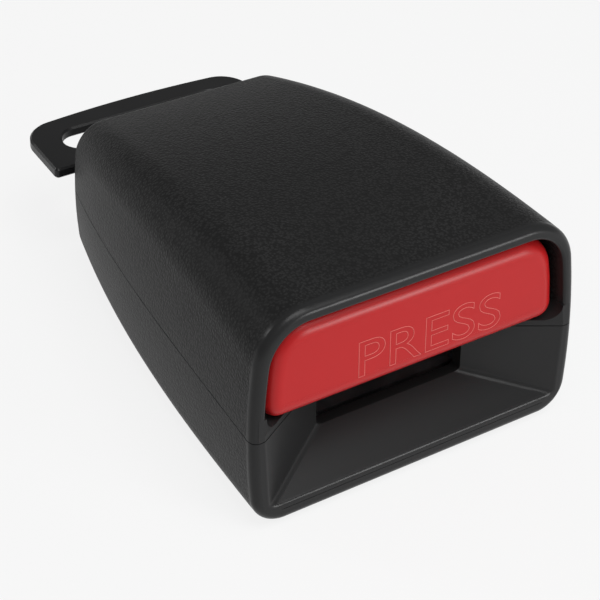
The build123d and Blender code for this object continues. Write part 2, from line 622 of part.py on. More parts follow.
# ---- Steel frame: a channel with a slotted base and windows for the bar and the pin ----
with BuildPart() as frame_channel:
    with BuildSketch(Plane.XY.offset(BASE_UNDER)):
        with BuildLine():
            Polyline(
                (-FRAME_OUTER, at(FRAME_FRONT)),
                (FRAME_OUTER, at(FRAME_FRONT)),
                (FRAME_OUTER, at(FRAME_REAR)),
                (TAIL_HALF, at(FRAME_REAR + TAIL_SLOPE)),
                (TAIL_HALF, at(TAIL_REAR)),
                (-TAIL_HALF, at(TAIL_REAR)),
                (-TAIL_HALF, at(FRAME_REAR + TAIL_SLOPE)),
                (-FRAME_OUTER, at(FRAME_REAR)),
                close=True,
            )
        make_face()
        with Locations((0, at((BASE_SLOT_FRONT + BASE_SLOT_REAR) / 2))):
            SlotOverall(BASE_SLOT_REAR - BASE_SLOT_FRONT, 2 * (KEEL_HALF + RUNNING), rotation=90,
                        mode=Mode.SUBTRACT)
        with Locations((-PEG_X, at(FRAME_FRONT + PEG_BACK)), (PEG_X, at(FRAME_FRONT + PEG_BACK))):
            Circle(PEG_RADIUS + PEG_FIT, mode=Mode.SUBTRACT)
        with Locations((-RIVET_X, at(TAIL_REAR - RIVET_SETBACK)), (RIVET_X, at(TAIL_REAR - RIVET_SETBACK))):
            Circle(RIVET_RADIUS, mode=Mode.SUBTRACT)
    extrude(amount=STEEL)
    # one side wall, with the bar's window, the pin's hole and the bridge rivet's hole
    with BuildSketch(Plane.YZ.offset(FRAME_INNER)):
        with BuildLine():
            Polyline(
                (at(FRAME_FRONT), BASE_UNDER),
                (at(FRAME_REAR), BASE_UNDER),
                (at(FRAME_REAR), HIGH_WALL_TOP - WALL_CORNER),
                (at(FRAME_REAR - WALL_CORNER), HIGH_WALL_TOP),
                (at(FRAME_STEP), HIGH_WALL_TOP),
                (at(FRAME_STEP), LOW_WALL_TOP),
                (at(FRAME_FRONT), LOW_WALL_TOP),
                close=True,
            )
        make_face()
        with Locations((at((BAR_WINDOW_FRONT + BAR_WINDOW_REAR) / 2), BAR_Z)):
            SlotCenterToCenter(BAR_WINDOW_REAR - BAR_WINDOW_FRONT, 2 * BAR_SLOT, mode=Mode.SUBTRACT)
        with Locations((at(PIVOT_BACK), PIVOT_Z)):
            Circle(PIN_RADIUS, mode=Mode.SUBTRACT)
        with Locations(LUG_RIVET_PLACE):
            Circle(LUG_RIVET_RADIUS, mode=Mode.SUBTRACT)
    extrude(amount=STEEL)
    mirror(about=Plane.YZ)
    # tab lanced up from the base, which backs the ejector's spring
    with BuildSketch(Plane.XY.offset(BASE_TOP)):
        with Locations((0, at(TAB_BACK + TAB_THICKNESS / 2))):
            Rectangle(2 * TAB_HALF, TAB_THICKNESS)
    extrude(amount=EJECTOR_TOP + TAB_RISE - BASE_TOP)

# ---- Tongue guide: plastic hat over the front of the frame ----
with BuildPart() as tongue_guide:
    with BuildSketch(Plane.YZ):
        with BuildLine():
            Polyline(
                (at(FRAME_FRONT), GUIDE_TOP),
                (at(FRAME_FRONT), PASSAGE_TOP + GUIDE_RISE),
                (at(FRAME_FRONT + GUIDE_LEAD), PASSAGE_TOP),
                (at(GUIDE_REAR), PASSAGE_TOP),
                (at(GUIDE_REAR), GUIDE_TOP),
                close=True,
            )
        make_face()
    extrude(amount=FRAME_INNER - GUIDE_SIDE, both=True)
    with BuildSketch(Plane.XY.offset(LOW_WALL_TOP)):
        with Locations((0, at((FRAME_FRONT + GUIDE_REAR) / 2))):
            Rectangle(2 * FRAME_OUTER, GUIDE_REAR - FRAME_FRONT)
    extrude(amount=GUIDE_TOP - LOW_WALL_TOP)

# ---- Bridge over the frame, which backs the return springs ----
with BuildPart() as spring_bridge:
    with BuildSketch(Plane.XY.offset(HIGH_WALL_TOP)):
        with Locations((0, at((BRIDGE_FRONT + BRIDGE_REAR) / 2))):
            Rectangle(2 * FRAME_OUTER, BRIDGE_REAR - BRIDGE_FRONT)
    extrude(amount=BRIDGE_THICKNESS)
    with BuildSketch(Plane.XZ.offset(-at(BRIDGE_FRONT))):
        flange_top = BUTTON_SPRING_Z + FLANGE_OVER_SPRING
        with Locations((0, (HIGH_WALL_TOP + flange_top) / 2)):
            Rectangle(2 * FLANGE_HALF, flange_top - HIGH_WALL_TOP)
    extrude(amount=-BRIDGE_THICKNESS)
    with BuildSketch(Plane.XY.offset(HIGH_WALL_TOP)):
        lug_x, lug_y = FRAME_INNER - LUG / 2, at(BRIDGE_REAR - LUG_LENGTH / 2)
        with Locations((-lug_x, lug_y), (lug_x, lug_y)):
            Rectangle(LUG, LUG_LENGTH)
    extrude(amount=-LUG_DROP)
    with BuildSketch(Plane.YZ):
        with Locations(LUG_RIVET_PLACE):
            Circle(LUG_RIVET_RADIUS)
    extrude(amount=FRAME_OUTER, both=True, mode=Mode.SUBTRACT)

with BuildPart() as bridge_rivets:
    with BuildSketch(Plane.YZ.offset(FRAME_INNER - LUG)):
        with Locations(LUG_RIVET_PLACE):
            Circle(LUG_RIVET_RADIUS)
    extrude(amount=LUG + STEEL)
    with BuildSketch(Plane.YZ.offset(FRAME_OUTER)):
        with Locations(LUG_RIVET_PLACE):
            Circle(LUG_RIVET_HEAD)
    extrude(amount=LUG_RIVET_HEAD_THICKNESS)
    with BuildSketch(Plane.YZ.offset(FRAME_INNER - LUG)):
        with Locations(LUG_RIVET_PLACE):
            Circle(LUG_RIVET_HEAD)
    extrude(amount=-LUG_RIVET_HEAD_THICKNESS)
    mirror(about=Plane.YZ)

# ---- Latch pawl and its pin ----
with BuildPart() as latch_pawl:
    with BuildSketch(Plane.YZ):
        with BuildLine():
            Polyline(
                (at(PAWL_FRONT), PAWL_UNDER),
                (at(PAWL_FRONT), PAWL_TOP + HUMP_HEIGHT),
                (at(PAWL_FRONT + HUMP_LENGTH), PAWL_TOP + HUMP_HEIGHT),
                (at(HUMP_REAR), PAWL_TOP),
                (at(PIVOT_BACK), PAWL_TOP),
                (at(PIVOT_BACK), PAWL_UNDER),
                close=True,
            )
        make_face()
    extrude(amount=PAWL_HALF, both=True)
    with BuildSketch(Plane.YZ):
        with Locations((at(PIVOT_BACK), PIVOT_Z)):
            Circle(BARREL_RADIUS)
    extrude(amount=FRAME_INNER - BARREL_GAP, both=True)
    with BuildSketch(Plane.XY.offset(PAWL_UNDER)):
        with Locations((0, at((PAWL_FRONT + TOOTH_REAR) / 2))):
            Rectangle(2 * TOOTH_HALF, TOOTH_DEPTH)
    extrude(amount=-TOOTH_LENGTH)
    with BuildSketch(Plane.YZ):
        with Locations((at(PIVOT_BACK), PIVOT_Z)):
            Circle(PIN_RADIUS + PIN_FIT)
    extrude(amount=FRAME_OUTER, both=True, mode=Mode.SUBTRACT)

with BuildPart() as latch_pin:
    with BuildSketch(Plane.YZ):
        with Locations((at(PIVOT_BACK), PIVOT_Z)):
            Circle(PIN_RADIUS)
    extrude(amount=FRAME_OUTER, both=True)
    with BuildSketch(Plane.YZ.offset(FRAME_OUTER)):
        with Locations((at(PIVOT_BACK), PIVOT_Z)):
            Circle(PIN_HEAD)
    extrude(amount=PIN_HEAD_THICKNESS)
    mirror(about=Plane.YZ)

# ---- Lock bar and the springs that push it forward in the slider's arms ----
with BuildPart() as lock_bar:
    with BuildSketch(Plane.YZ):
        with Locations((at(BAR_BACK), BAR_Z)):
            Circle(BAR_RADIUS)
    extrude(amount=ARM_OUTER, both=True)


def lock_spring(side):
    """Folded leaf spring between the lock bar and the rear end of its slot in one arm."""
    start = at(BAR_BACK + BAR_RADIUS + LEAF / 2)
    pitch = (at(BAR_BACK + LOCK_SPRING_LENGTH + BAR_SLOT - LEAF) - start) / LEAF_FOLDS
    points = []
    for fold in range(LEAF_FOLDS + 1):
        share = LEAF_END_SHARE if fold in (0, LEAF_FOLDS) else 1
        points.append((start + fold * pitch, BAR_Z + LEAF_HALF_HEIGHT * share * (-1) ** fold))
    with BuildPart() as spring:
        with BuildSketch(Plane.YZ.offset(side * (ARM_INNER + ARM_THICKNESS / 2))):
            with BuildLine():
                Polyline(*points)
            trace(line_width=LEAF)
        extrude(amount=LEAF_WIDTH / 2, both=True)
    return spring.part


# ---- Ejector and the pin that guides its spring ----
with BuildPart() as ejector:
    with BuildSketch(Plane.YZ):
        with BuildLine():
            Polyline(
                (at(EJECTOR_FRONT), BASE_TOP + RUNNING),
                (at(EJECTOR_REAR), BASE_TOP + RUNNING),
                (at(EJECTOR_REAR), EJECTOR_TOP),
                (at(TOOTH_REAR), EJECTOR_TOP),
                (at(EJECTOR_FRONT), NOSE_HEIGHT),
                close=True,
            )
        make_face()
    extrude(amount=EJECTOR_HALF, both=True)
    with BuildSketch(Plane.XY.offset(BASE_TOP + RUNNING)):
        with Locations((0, at((BASE_SLOT_FRONT + KEEL_SETBACK + EJECTOR_REAR) / 2))):
            Rectangle(2 * KEEL_HALF, EJECTOR_REAR - BASE_SLOT_FRONT - KEEL_SETBACK)
    extrude(amount=-KEEL_DEPTH - RUNNING)
    with BuildSketch(Plane.XZ.offset(-at(EJECTOR_REAR))):
        with Locations((0, POCKET_Z)):
            Circle(POCKET_RADIUS)
    extrude(amount=POCKET_DEPTH, mode=Mode.SUBTRACT)

with BuildPart() as ejector_guide_pin:
    with BuildSketch(Plane.XZ.offset(-at(TAB_BACK))):
        with Locations((0, POCKET_Z)):
            Circle(GUIDE_PIN_RADIUS)
    extrude(amount=GUIDE_PIN_LENGTH)

# ---- Coil springs ----
ejector_spring = coil_spring(
    (0, at(TAB_BACK), POCKET_Z), (0, -1, 0), EJECTOR_SPRING_RADIUS,
    TAB_BACK - EJECTOR_REAR + POCKET_DEPTH, EJECTOR_SPRING_TURNS,
)
button_spring_left, button_spring_right = (
    coil_spring((x, at(BRIDGE_FRONT), BUTTON_SPRING_Z), (0, -1, 0), BUTTON_SPRING_RADIUS,
                BRIDGE_FRONT - SPRING_SEAT, BUTTON_SPRING_TURNS)
    for x in (-BUTTON_SPRING_X, BUTTON_SPRING_X)
)
latch_spring = coil_spring(
    (0, at(PIVOT_BACK - LATCH_SPRING_SETBACK), PAWL_TOP), (0, 0, 1), LATCH_SPRING_RADIUS,
    HIGH_WALL_TOP - PAWL_TOP, LATCH_SPRING_TURNS,
)

# ---- Webbing plate and its rivets ----
with BuildPart() as anchor_plate:
    with BuildSketch(Plane.YZ):
        with BuildLine():
            tail_middle = BASE_TOP + PLATE_THICKNESS / 2
            crank_back = TAIL_REAR - CRANK_LEAD
            FilletPolyline(
                (at(TAIL_REAR - PLATE_TAIL_LAP), tail_middle),
                (at(crank_back), tail_middle),
                (at(crank_back + CRANK_LENGTH), PARTING_Z),
                (at(PLATE_FRONT + PLATE_THICKNESS / 2), PARTING_Z),
                radius=BEND_RADIUS,
            )
        trace(line_width=PLATE_THICKNESS)
    extrude(amount=NECK_HALF, both=True)
    with BuildSketch(seam_plane.offset(-PLATE_THICKNESS / 2)) as outline:
        with BuildLine():
            shoulder_y = at(PLATE_REAR - PLATE_BOW)
            front = Line((-PLATE_HALF, at(PLATE_FRONT)), (PLATE_HALF, at(PLATE_FRONT)))
            right = Line(front @ 1, (PLATE_HALF - PLATE_TAPER, shoulder_y))
            bow = ThreePointArc(right @ 1, (0, at(PLATE_REAR)), (-PLATE_HALF + PLATE_TAPER, shoulder_y))
            Line(bow @ 1, front @ 0)
        make_face()
        fillet(outline.vertices().group_by(Axis.Y)[-1], PLATE_CORNER)
        fillet(outline.vertices().group_by(Axis.Y)[0], PLATE_FRONT_CORNER)
        with Locations((0, at(PLATE_FRONT + SLOT_SETBACK + SLOT_WIDTH / 2))):
            SlotOverall(SLOT_LENGTH, SLOT_WIDTH, mode=Mode.SUBTRACT)
    extrude(amount=PLATE_THICKNESS)
    with BuildSketch(Plane.XY.offset(BASE_TOP)):
        with Locations((-RIVET_X, at(TAIL_REAR - RIVET_SETBACK)), (RIVET_X, at(TAIL_REAR - RIVET_SETBACK))):
            Circle(RIVET_RADIUS)
    extrude(amount=PLATE_THICKNESS, mode=Mode.SUBTRACT)
    rims = anchor_plate.edges().filter_by(lambda edge: edge.center().Y > at(PLATE_FRONT) - 0.01)
    rims = rims.filter_by(lambda edge: abs(abs(edge.center().Z - PARTING_Z) - PLATE_THICKNESS / 2) < 0.01)
    chamfer(rims.filter_by(lambda edge: edge.center().Y > at(PLATE_FRONT) + 0.01), PLATE_EDGE)

with BuildPart() as anchor_rivets:
    with BuildSketch(Plane.XY.offset(BASE_UNDER)):
        with Locations((-RIVET_X, at(TAIL_REAR - RIVET_SETBACK)), (RIVET_X, at(TAIL_REAR - RIVET_SETBACK))):
            Circle(RIVET_RADIUS)
    extrude(amount=STEEL + PLATE_THICKNESS)
    with BuildSketch(Plane.XY.offset(BASE_TOP + PLATE_THICKNESS)):
        with Locations((-RIVET_X, at(TAIL_REAR - RIVET_SETBACK)), (RIVET_X, at(TAIL_REAR - RIVET_SETBACK))):
            Circle(RIVET_HEAD)
    extrude(amount=RIVET_TOP_HEAD)
    with BuildSketch(Plane.XY.offset(BASE_UNDER)):
        with Locations((-RIVET_X, at(TAIL_REAR - RIVET_SETBACK)), (RIVET_X, at(TAIL_REAR - RIVET_SETBACK))):
            Circle(RIVET_HEAD)
    extrude(amount=-RIVET_LOW_HEAD)

# ---- Written files, one for each piece ----
PIECES = {
    "upper_cover": upper_cover.part,
    "lower_cover": lower_cover.part,
    "button_cap": button_cap.part,
    "button_slider": button_slider.part,
    "frame_channel": frame_channel.part,
    "tongue_guide": tongue_guide.part,
    "spring_bridge": spring_bridge.part,
    "bridge_rivets": bridge_rivets.part,
    "latch_pawl": latch_pawl.part,
    "latch_pin": latch_pin.part,
    "lock_bar": lock_bar.part,
    "lock_spring_left": lock_spring(-1),
    "lock_spring_right": lock_spring(1),
    "ejector": ejector.part,
    "ejector_guide_pin": ejector_guide_pin.part,
    "ejector_spring": ejector_spring,
    "button_spring_left": button_spring_left,
    "button_spring_right": button_spring_right,
    "latch_spring": latch_spring,
    "anchor_plate": anchor_plate.part,
    "anchor_rivets": anchor_rivets.part,
}

os.makedirs("parts", exist_ok=True)
for name, piece in PIECES.items():
    piece.label = name
    export_step(piece, f"parts/{name}.step")
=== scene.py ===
import logging
import math
from dataclasses import dataclass, field
from enum import Enum

import bmesh
import bpy
from mathutils import Matrix, Vector


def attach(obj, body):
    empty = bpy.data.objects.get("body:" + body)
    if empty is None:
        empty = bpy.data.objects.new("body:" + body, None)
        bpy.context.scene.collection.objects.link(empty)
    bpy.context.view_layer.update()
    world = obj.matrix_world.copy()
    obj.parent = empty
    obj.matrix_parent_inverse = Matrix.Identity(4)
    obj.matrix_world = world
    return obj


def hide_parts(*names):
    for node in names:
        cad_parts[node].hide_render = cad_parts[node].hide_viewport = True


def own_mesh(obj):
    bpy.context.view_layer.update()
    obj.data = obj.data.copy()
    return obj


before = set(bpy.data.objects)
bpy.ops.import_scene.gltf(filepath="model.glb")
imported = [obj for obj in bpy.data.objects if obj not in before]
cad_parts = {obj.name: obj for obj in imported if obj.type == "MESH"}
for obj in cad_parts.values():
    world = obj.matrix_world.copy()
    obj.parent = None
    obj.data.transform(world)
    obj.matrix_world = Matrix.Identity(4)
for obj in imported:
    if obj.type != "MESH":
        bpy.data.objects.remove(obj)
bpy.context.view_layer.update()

# Seat belt buckle, in metres. +X is across it, +Y runs from the tongue mouth to the webbing plate, +Z is up.
MM = 0.001
LEAN = math.radians(5.2)  # the mouth leans back by this much
LIP_Y = -48.5053 * MM  # lower lip of the mouth
LIP_Z = 0.84 * MM
CAP_RECESS = 1.0 * MM  # the button's face stands this far behind the mouth
MERGE = 0.001 * MM  # corners closer than this are one corner
MIDDLE = 0.5  # middle value of a noise
SORT_WAY = Vector((0.731, 0.177, 0.313))  # a slanting line, along which no two corners are level

Colour = tuple[float, float, float, float]
Band = tuple[float, float]
Options = dict[str, object]
Sockets = dict[str | int, object]
log = logging.getLogger("buckle")


# ---- Shader maths ----
class Step(Enum):
    """The sums that a Math node does in these finishes."""

    ADD = "ADD"
    SUBTRACT = "SUBTRACT"
    MULTIPLY = "MULTIPLY"
    ABSOLUTE = "ABSOLUTE"
    MAXIMUM = "MAXIMUM"


class Signal:
    """One output of a recipe's node; arithmetic on it adds Math nodes."""

    def __init__(self, recipe: "Recipe", socket: bpy.types.NodeSocket) -> None:
        """Keeps the socket and the recipe that it belongs to."""
        self.recipe = recipe
        self.socket = socket

    def _sum(self, step: Step, *terms: "Signal | float") -> "Signal":
        """Adds one Math node.

        Args:
            step: The sum to do.
            terms: Its inputs, in order.

        Returns:
            The node's result.
        """
        return self.recipe.signal("ShaderNodeMath", {"operation": step.value}, dict(enumerate(terms)))

    def __add__(self, other: "Signal | float") -> "Signal":
        """Adds."""
        return self._sum(Step.ADD, self, other)

    def __radd__(self, other: float) -> "Signal":
        """Adds, from the right."""
        return self._sum(Step.ADD, other, self)

    def __sub__(self, other: "Signal | float") -> "Signal":
        """Subtracts."""
        return self._sum(Step.SUBTRACT, self, other)

    def __rsub__(self, other: float) -> "Signal":
        """Subtracts this signal from a number."""
        return self._sum(Step.SUBTRACT, other, self)

    def __mul__(self, other: "Signal | float") -> "Signal":
        """Multiplies."""
        return self._sum(Step.MULTIPLY, self, other)

    def __rmul__(self, other: float) -> "Signal":
        """Multiplies, from the right."""
        return self._sum(Step.MULTIPLY, other, self)

    def __abs__(self) -> "Signal":
        """Drops the sign."""
        return self._sum(Step.ABSOLUTE, self)

    def most(self, other: "Signal | float") -> "Signal":
        """The larger of the two."""
        return self._sum(Step.MAXIMUM, self, other)

    def ramp(self, start: float, end: float, low: float = 0.0, high: float = 1.0) -> "Signal":
        """Runs smoothly from low at start to high at end, and stays level outside them."""
        settings = {"interpolation_type": "SMOOTHSTEP"}
        inputs = {"Value": self, "From Min": start, "From Max": end, "To Min": low, "To Max": high}
        return self.recipe.signal("ShaderNodeMapRange", settings, inputs)


class Recipe:
    """The nodes of one material."""

    def __init__(self, name: str) -> None:
        """Starts an empty material.

        Args:
            name: The material's name.
        """
        self.material = bpy.data.materials.new(name)
        self.material.use_nodes = True
        self.material.node_tree.nodes.clear()
        self.place = self.signal("ShaderNodeTexCoord", output="Object")

    def node(
        self, kind: str, settings: Options | None = None, inputs: Sockets | None = None
    ) -> bpy.types.Node:
        """Adds a node, with its own options set before its sockets.

        Args:
            kind: The node's type.
            settings: Its own options.
            inputs: Values or signals for its sockets, by name or number.

        Returns:
            The new node.
        """
        made = self.material.node_tree.nodes.new(kind)
        for option, value in (settings or {}).items():
            setattr(made, option, value)
        for socket, value in (inputs or {}).items():
            if isinstance(value, Signal):
                self.material.node_tree.links.new(value.socket, made.inputs[socket])
            else:
                made.inputs[socket].default_value = value
        return made

    def signal(
        self, kind: str, settings: Options | None = None, inputs: Sockets | None = None, output: str | int = 0
    ) -> Signal:
        """Adds a node, given as node() takes it, and hands back one of its outputs."""
        return Signal(self, self.node(kind, settings, inputs).outputs[output])

    def axes(self) -> tuple[Signal, Signal, Signal]:
        """The place on the piece as three signals, X, Y and Z."""
        parts = self.node("ShaderNodeSeparateXYZ", inputs={"Vector": self.place})
        return tuple(Signal(self, parts.outputs[axis]) for axis in ("X", "Y", "Z"))

    def stretched(self, scale: tuple[float, float, float]) -> Signal:
        """The place with each axis stretched, for patterns that run one way."""
        return self.signal("ShaderNodeMapping", inputs={"Vector": self.place, "Scale": scale})

    def noise(self, scale: float, detail: float = 2.0, place: Signal | None = None) -> Signal:
        """Soft random pattern from 0 to 1.

        Args:
            scale: Waves in a metre.
            detail: Finer layers on top of the first.
            place: Where it is read, or the plain place on the piece.

        Returns:
            The pattern's value.
        """
        inputs = {"Vector": place or self.place, "Scale": scale, "Detail": detail, "Roughness": 0.5}
        return self.signal("ShaderNodeTexNoise", {"noise_dimensions": "3D"}, inputs)

    def pebbles(self, scale: float) -> Signal:
        """Round cells, low between them and high in their middles."""
        inputs = {"Vector": self.place, "Scale": scale, "Smoothness": 0.6}
        cells = self.signal("ShaderNodeTexVoronoi", {"feature": "SMOOTH_F1"}, inputs, "Distance")
        return 1.0 - cells

    def blend(self, share: Signal, first: "Signal | Colour", second: "Signal | Colour") -> Signal:
        """Mixes two colours.

        Args:
            share: How much of the second shows.
            first: Colour at a share of 0.
            second: Colour at a share of 1.

        Returns:
            The mixed colour.
        """
        return self.signal("ShaderNodeMix", {"data_type": "RGBA"}, {0: share, 6: first, 7: second}, 2)

    def bump(self, height: Signal, depth: float, strength: "Signal | float" = 1.0) -> Signal:
        """Turns a height pattern into a surface normal, depth metres deep."""
        inputs = {"Height": height, "Distance": depth, "Strength": strength}
        return self.signal("ShaderNodeBump", inputs=inputs, output="Normal")

    def surface(self, **sockets: "Signal | float | Colour") -> bpy.types.Material:
        """Closes the recipe with a Principled surface.

        Args:
            sockets: The shader's sockets, with _ for the spaces in their names.

        Returns:
            The finished material.
        """
        inputs = {name.replace("_", " "): value for name, value in sockets.items()}
        shader = self.signal("ShaderNodeBsdfPrincipled", inputs=inputs)
        self.node("ShaderNodeOutputMaterial", inputs={"Surface": shader})
        return self.material


# ---- Finishes ----
@dataclass(frozen=True)
class GrainedPlastic:
    """Black moulded cover: pebble grain on the skin, with painted shade between the pebbles, smooth and
    glossier round the mouth and inside it.
    """

    slot: str = "cover_black"
    deep: Colour = (0.0205, 0.0205, 0.0206, 1.0)
    worn: Colour = (0.0240, 0.0240, 0.0242, 1.0)
    pebble_shade: Colour = (0.0125, 0.0125, 0.0126, 1.0)  # painted shade between the pebbles
    rim: Colour = (0.0170, 0.0171, 0.0174, 1.0)
    pebble: float = 0.45 * MM
    height: float = 0.075 * MM
    fleck_waves: float = 2.4  # in a pebble
    fleck_share: float = 0.5
    cloud_waves: float = 70.0
    pebble_band: Band = (0.65, 1.0)
    worn_band: Band = (0.35, 0.7)
    skin_roughness: float = 0.42
    rim_roughness: float = 0.29
    uneven: float = 0.06
    specular: float = 0.085
    rim_coat: float = 0.20
    coat_roughness: float = 0.28
    rim_start: float = 1.2 * MM  # behind the mouth, where the grain begins
    rim_end: float = 2.25 * MM
    funnel_half: float = 28.9 * MM
    funnel_floor: float = 2.3 * MM
    funnel_depth: float = 12.0 * MM
    brow: float = 20.5 * MM  # height above which there is no funnel
    edge: float = 0.3 * MM  # half width of the masks' soft edges
    brow_edge: float = 0.5 * MM

    def skin(self, recipe: Recipe) -> Signal:
        """Marks the grained skin with 1, and the smooth rim and funnel with 0.

        Args:
            recipe: The finish being made.

        Returns:
            The mask.
        """
        x, y, z = recipe.axes()
        behind = (y - LIP_Y) * math.cos(LEAN) - (z - LIP_Z) * math.sin(LEAN)
        above = (z - LIP_Z) * math.cos(LEAN) + (y - LIP_Y) * math.sin(LEAN)
        beside = abs(x).ramp(self.funnel_half - self.edge, self.funnel_half + self.edge)
        under = above.ramp(self.funnel_floor + self.edge, self.funnel_floor - self.edge)
        over = z.ramp(self.brow - self.brow_edge, self.brow + self.brow_edge)
        beyond = behind.ramp(self.funnel_depth - self.edge, self.funnel_depth + self.edge)
        return behind.ramp(self.rim_start, self.rim_end) * beside.most(under).most(over).most(beyond)

    def make(self) -> bpy.types.Material:
        """Builds the finish, and returns its material."""
        recipe = Recipe(self.slot)
        skin = self.skin(recipe)
        flecks = recipe.noise(self.fleck_waves / self.pebble) * self.fleck_share
        pebbles = recipe.pebbles(1 / self.pebble) + flecks
        cloud = recipe.noise(self.cloud_waves, 3.0)
        crests = recipe.blend(cloud.ramp(*self.worn_band), self.deep, self.worn)
        # painted shade: the hollows between the pebbles are coloured darker than their crests
        grain_with_shade = recipe.blend(pebbles.ramp(*self.pebble_band), self.pebble_shade, crests)
        roughness = skin.ramp(0.0, 1.0, self.rim_roughness, self.skin_roughness)
        return recipe.surface(
            Base_Color=recipe.blend(skin, self.rim, grain_with_shade),
            Roughness=roughness + (cloud - MIDDLE) * self.uneven,
            Specular_IOR_Level=self.specular,
            Coat_Weight=(1.0 - skin) * self.rim_coat,
            Coat_Roughness=self.coat_roughness,
            Normal=recipe.bump(pebbles, self.height, skin),
        )


@dataclass(frozen=True)
class ButtonPlastic:
    """Satin red moulding of the press button."""

    slot: str = "button_red"
    body: Colour = (0.418, 0.0108, 0.0118, 1.0)
    deep: Colour = (0.410, 0.0103, 0.0113, 1.0)
    flow_waves: float = 55.0
    flow_band: Band = (0.3, 0.7)
    skin_waves: float = 3800.0
    skin_height: float = 0.006 * MM
    skin_strength: float = 0.4
    roughness: float = 0.32
    uneven: float = 0.06
    specular: float = 0.24

    def make(self) -> bpy.types.Material:
        """Builds the finish, and returns its material."""
        recipe = Recipe(self.slot)
        flow = recipe.noise(self.flow_waves, 3.0)
        skin = recipe.noise(self.skin_waves)
        return recipe.surface(
            Base_Color=recipe.blend(flow.ramp(*self.flow_band), self.deep, self.body),
            Roughness=self.roughness + (flow - MIDDLE) * self.uneven,
            Specular_IOR_Level=self.specular,
            Normal=recipe.bump(skin, self.skin_height, self.skin_strength),
        )


@dataclass(frozen=True)
class LegendInk:
    """Pale line of the button's lettering."""

    name: str = "legend_line"
    ink: Colour = (0.62, 0.15, 0.13, 1.0)
    faded: Colour = (0.54, 0.10, 0.09, 1.0)
    wear_waves: float = 420.0
    roughness: float = 0.42
    uneven: float = 0.06

    def make(self) -> bpy.types.Material:
        """Builds the finish, and returns its material."""
        recipe = Recipe(self.name)
        wear = recipe.noise(self.wear_waves)
        colour = recipe.blend(wear, self.faded, self.ink)
        return recipe.surface(Base_Color=colour, Roughness=self.roughness + wear * self.uneven)


@dataclass(frozen=True)
class Acetal:
    """Smooth dark plastic of the sliding and guiding pieces inside."""

    slot: str
    tone: float
    shade: tuple[float, float, float] = (0.8, 0.8, 0.84)  # of the tone, where it is dark
    light: tuple[float, float, float] = (1.0, 1.0, 1.03)
    flow_waves: float = 90.0
    skin_waves: float = 2600.0
    skin_height: float = 0.008 * MM
    skin_strength: float = 0.3
    roughness: float = 0.34
    uneven: float = 0.12

    def make(self) -> bpy.types.Material:
        """Builds the finish, and returns its material."""
        recipe = Recipe(self.slot)
        flow = recipe.noise(self.flow_waves, 4.0)
        dark, pale = (tuple(self.tone * part for part in mix) + (1.0,) for mix in (self.shade, self.light))
        return recipe.surface(
            Base_Color=recipe.blend(flow, dark, pale),
            Roughness=self.roughness + flow * self.uneven,
            Normal=recipe.bump(recipe.noise(self.skin_waves), self.skin_height, self.skin_strength),
        )


@dataclass(frozen=True)
class PlatedSteel:
    """Zinc plated pressed steel, with faint rolling lines along it."""

    slot: str = "frame_steel"
    bright: Colour = (0.60, 0.61, 0.63, 1.0)
    dull: Colour = (0.42, 0.43, 0.46, 1.0)
    line_waves: float = 2400.0
    line_stretch: tuple[float, float, float] = (1.0, 0.04, 1.0)
    line_height: float = 0.01 * MM
    line_strength: float = 0.25
    bloom_waves: float = 160.0
    bloom_band: Band = (0.3, 0.75)
    roughness: float = 0.30
    bloom_rough: float = 0.14
    line_rough: float = 0.05

    def make(self) -> bpy.types.Material:
        """Builds the finish, and returns its material."""
        recipe = Recipe(self.slot)
        lines = recipe.noise(self.line_waves, 3.0, recipe.stretched(self.line_stretch))
        bloom = recipe.noise(self.bloom_waves, 3.0)
        return recipe.surface(
            Base_Color=recipe.blend(bloom.ramp(*self.bloom_band), self.dull, self.bright),
            Metallic=1.0,
            Roughness=self.roughness + bloom * self.bloom_rough + lines * self.line_rough,
            Normal=recipe.bump(lines, self.line_height, self.line_strength),
        )


@dataclass(frozen=True)
class SpringWire:
    """Drawn spring wire."""

    slot: str = "spring_steel"
    bright: Colour = (0.66, 0.66, 0.67, 1.0)
    dull: Colour = (0.46, 0.45, 0.44, 1.0)
    drawn_waves: float = 1500.0
    roughness: float = 0.24
    uneven: float = 0.12

    def make(self) -> bpy.types.Material:
        """Builds the finish, and returns its material."""
        recipe = Recipe(self.slot)
        drawn = recipe.noise(self.drawn_waves)
        colour = recipe.blend(drawn, self.dull, self.bright)
        return recipe.surface(Base_Color=colour, Metallic=1.0, Roughness=self.roughness + drawn * self.uneven)


@dataclass(frozen=True)
class CoatedSteel:
    """Satin black coating on the webbing plate."""

    slot: str = "plate_black"
    coat: Colour = (0.0100, 0.0100, 0.0104, 1.0)
    thin: Colour = (0.0125, 0.0125, 0.0129, 1.0)
    peel_waves: float = 900.0
    peel_height: float = 0.02 * MM
    peel_strength: float = 0.25
    patch_waves: float = 120.0
    patch_band: Band = (0.4, 0.8)
    roughness: float = 0.30
    uneven: float = 0.10
    specular: float = 0.25

    def make(self) -> bpy.types.Material:
        """Builds the finish, and returns its material."""
        recipe = Recipe(self.slot)
        peel = recipe.noise(self.peel_waves)
        patch = recipe.noise(self.patch_waves)
        return recipe.surface(
            Base_Color=recipe.blend(patch.ramp(*self.patch_band), self.coat, self.thin),
            Roughness=self.roughness + patch * self.uneven,
            Specular_IOR_Level=self.specular,
            Normal=recipe.bump(peel, self.peel_height, self.peel_strength),
        )


# ---- Sub-assemblies ----
def dress(names: tuple[str, ...], material: bpy.types.Material) -> None:
    """Gives solids that keep their shape a finish.

    Args:
        names: The solids' names.
        material: The finish.
    """
    for name in names:
        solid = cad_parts[name]
        solid.data.materials.clear()
        solid.data.materials.append(material)
        log.info("dressed %s in %s", name, material.name)


